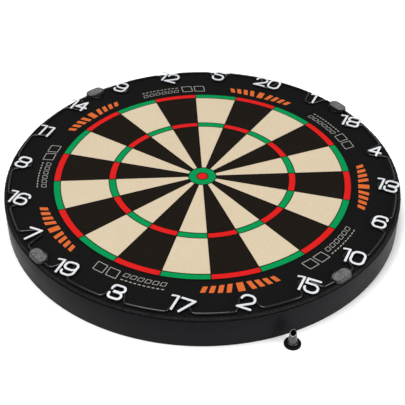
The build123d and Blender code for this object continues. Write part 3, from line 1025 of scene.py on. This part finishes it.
def anchor_flange():
    """The moulded flange, its seat at height 0, with a rounded rim and a groove near it."""
    low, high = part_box("anchor_flange_1")
    radius, thick = (high.x - low.x) / 2, high.z - low.z
    roll = FLANGE_ROLL
    inner, inner_floor, outer_floor, outer = GROOVE_RADII
    outline = [
        (FLANGE_HOLE, 0),
        (inner, 0),
        (inner_floor, GROOVE_DEPTH),
        (outer_floor, GROOVE_DEPTH),
        (outer, 0),
    ]
    for height, start in ((roll, -90), (thick - roll, 0)):
        for step in range(6):
            a = math.radians(start + 18 * step)
            outline.append((radius - roll + roll * math.cos(a), height + roll * math.sin(a)))
    seat = thick - HEAD_THICKNESS
    outline += [(HEAD_ROOM, thick), (HEAD_ROOM, seat), (FLANGE_HOLE, seat)]
    return turned("anchor_rim", outline, steps=FLANGE_STEPS)


def anchor_pin():
    """The plated pin under a flange: a collar, a hollow cone and a slanted tip."""
    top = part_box("spare_flange")[1].z
    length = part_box("spare_pin")[1].z - top
    under_head = top - HEAD_THICKNESS
    shoulder = PIN_ROOT - (PIN_ROOT - PIN_TIP) * COLLAR_HEIGHT / length
    outline = [
        (PIN_HUB, -COLLAR_HEIGHT - PIN_FLOOR),
        (PIN_BORE, -COLLAR_HEIGHT - PIN_FLOOR),
        (PIN_BORE, MOUTH_LENGTH - length),
        (PIN_TIP - MOUTH_LIP, -length),
        (PIN_TIP, -length),
        (shoulder, -COLLAR_HEIGHT),
        (PIN_COLLAR - COLLAR_EASE, -COLLAR_HEIGHT),
        (PIN_COLLAR, -COLLAR_HEIGHT + COLLAR_EASE),
        (PIN_COLLAR, 0),
        (PIN_NECK, 0),
        (PIN_NECK, under_head),
        (PIN_HEAD, under_head),
        (PIN_HEAD, top),
        (PIN_HUB, top),
    ]
    pin = turned("anchor_stem", outline, ends="fill", steps=PIN_STEPS)
    pick(pin)
    bpy.ops.object.mode_set(mode="EDIT")
    bpy.ops.mesh.select_all(action="SELECT")
    tilt = math.atan2(PIN_SLANT, 2 * PIN_TIP)
    bpy.ops.mesh.bisect(
        plane_co=(0, 0, PIN_SLANT / 2 - length),
        plane_no=(0, math.sin(tilt), -math.cos(tilt)),
        clear_outer=True,
        use_fill=True,
    )
    close_piece(pin)
    return bevelled(pin, PIN_EASE, 2, SHARP_EDGE)


def make_anchors():
    """Four anchors seated in the board, and the spare standing on its flange beside it."""
    flange, pin = anchor_flange(), anchor_pin()
    parts = (
        (flange, "flange", flange_plastic, "flange_plastic"),
        (pin, "pin", zinc_plate, "zinc_steel"),
    )
    for number in range(1, ANCHORS + 1):
        node = f"anchor_flange_{number}"
        place = middle(node)
        place.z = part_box(node)[0].z
        turn = math.atan2(place.y, place.x) - math.pi / 2
        for part, kind, finish, slot in parts:
            copy = placed(copied(part, f"seated_{kind}_{number}"), place, (0, 0, turn))
            dress(copy, finish, "anchors", slot, f"anchor_{kind}_{number}")
    place = middle("spare_flange")
    place.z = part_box("spare_flange")[1].z
    flipped = (math.pi, 0, 0)
    rim = placed(copied(flange, "spare_rim"), place, flipped)
    dress(rim, flange_plastic, "spare_anchor", "flange_plastic", "spare_flange")
    stem = placed(copied(pin, "spare_stem"), place, flipped)
    dress(stem, zinc_plate, "spare_anchor", "zinc_steel", "spare_pin")
    pick(flange, pin)
    bpy.ops.object.delete()


make_anchors()

# ---------------------------------------------------------------- blades, wire, back, seam


BLADE_EASE = 0.1 * MM     # rounding along a blade's edges
PLATE_EASE = 0.2 * MM     # and on the magnets, the seam and the nut
BACK_EASE = 0.3 * MM
WIRE_SMOOTH = 60.0


def refined(node, name, finish, body, slot, rounding=0.0, smooth=SMOOTH_ANGLE):
    """A merged copy of a CAD piece with smooth curves, and rounded edges where it is given."""
    piece = merged_copy(node, name)
    close_piece(piece, smooth)
    if rounding:
        bevelled(piece, rounding, 2, SHARP_EDGE)
    return dress(piece, finish, body, slot, node)


def make_blades_and_magnets():
    """Every blade in the board, and every cap's magnet."""
    for node in sorted(frame["nodes"]):
        if "blade" in node:
            refined(node, f"steel_{node}", blade_steel, "board", "blade_steel", BLADE_EASE)
        elif node.startswith("magnet"):
            cap = node.replace("magnet", "cap")
            refined(node, f"plated_{node}", nickel_plate, cap, "magnet_plate", PLATE_EASE)


make_blades_and_magnets()
refined(
    "number_ring_wire", "coated_wire", wire_coat, "number_ring", "wire_paint", smooth=WIRE_SMOOTH
)
refined("band_seam_plate", "painted_seam", band_paint, "board", "band_paint", PLATE_EASE)
refined("seam_rivets", "painted_rivets", band_paint, "board", "band_paint", PLATE_EASE)
refined("backboard", "chip_back", chipboard, "board", "chipboard", BACK_EASE)
refined("hanging_nut", "plated_nut", zinc_plate, "board", "zinc_steel", PLATE_EASE)

# ---------------------------------------------------------------- studio


def make_floor():
    """A plain pale floor."""
    clear_selection()
    bpy.ops.mesh.primitive_plane_add(size=8, location=(0, 0, 0))
    floor = bpy.context.object
    floor.name = "studio_floor"
    paper = coated("white_paper", (246, 246, 246), (249, 249, 249), (0.7, 0.8), 200.0)
    floor.data.materials.append(paper)


def softbox(name, place, target, size, power):
    """A square area light that faces the target."""
    light = bpy.data.lights.new(name, "AREA")
    light.shape = "SQUARE"
    light.size = size
    light.energy = power
    holder = bpy.data.objects.new(name, light)
    bpy.context.scene.collection.objects.link(holder)
    holder.location = place
    holder.rotation_euler = (Vector(target) - Vector(place)).to_track_quat("-Z", "Y").to_euler()


def make_light():
    """An even white surround, and one large softbox overhead."""
    world = bpy.data.worlds.new("studio_air")
    world.use_nodes = True
    background = world.node_tree.nodes["Background"]
    background.inputs["Color"].default_value = (1.0, 1.0, 1.0, 1.0)
    background.inputs["Strength"].default_value = 0.5
    bpy.context.scene.world = world
    softbox("right_fill", (1.7, -0.1, 0.45), (0.2, 0, 0.02), 0.9, 20.0)
    softbox("overhead", (-0.3, -0.3, 2.2), (0, 0, 0), 1.4, 56.0)


def make_camera():
    """Looks down at the board from beyond the 15."""
    camera = bpy.data.objects.new("camera", bpy.data.cameras.new("camera"))
    bpy.context.scene.collection.objects.link(camera)
    camera.data.sensor_width = 36.0
    camera.data.lens = 84.89
    camera.location = (0.35056, -0.78997, 0.71495)
    aim = Vector((0.01928, -0.04322, 0.038))
    look = (aim - camera.location).to_track_quat("-Z", "Y")
    camera.rotation_euler = look.to_euler()
    camera.data.clip_start = 0.01
    camera.data.clip_end = 50.0
    bpy.context.scene.camera = camera


make_floor()
make_light()
make_camera()
bpy.context.scene.view_settings.view_transform = "Standard"
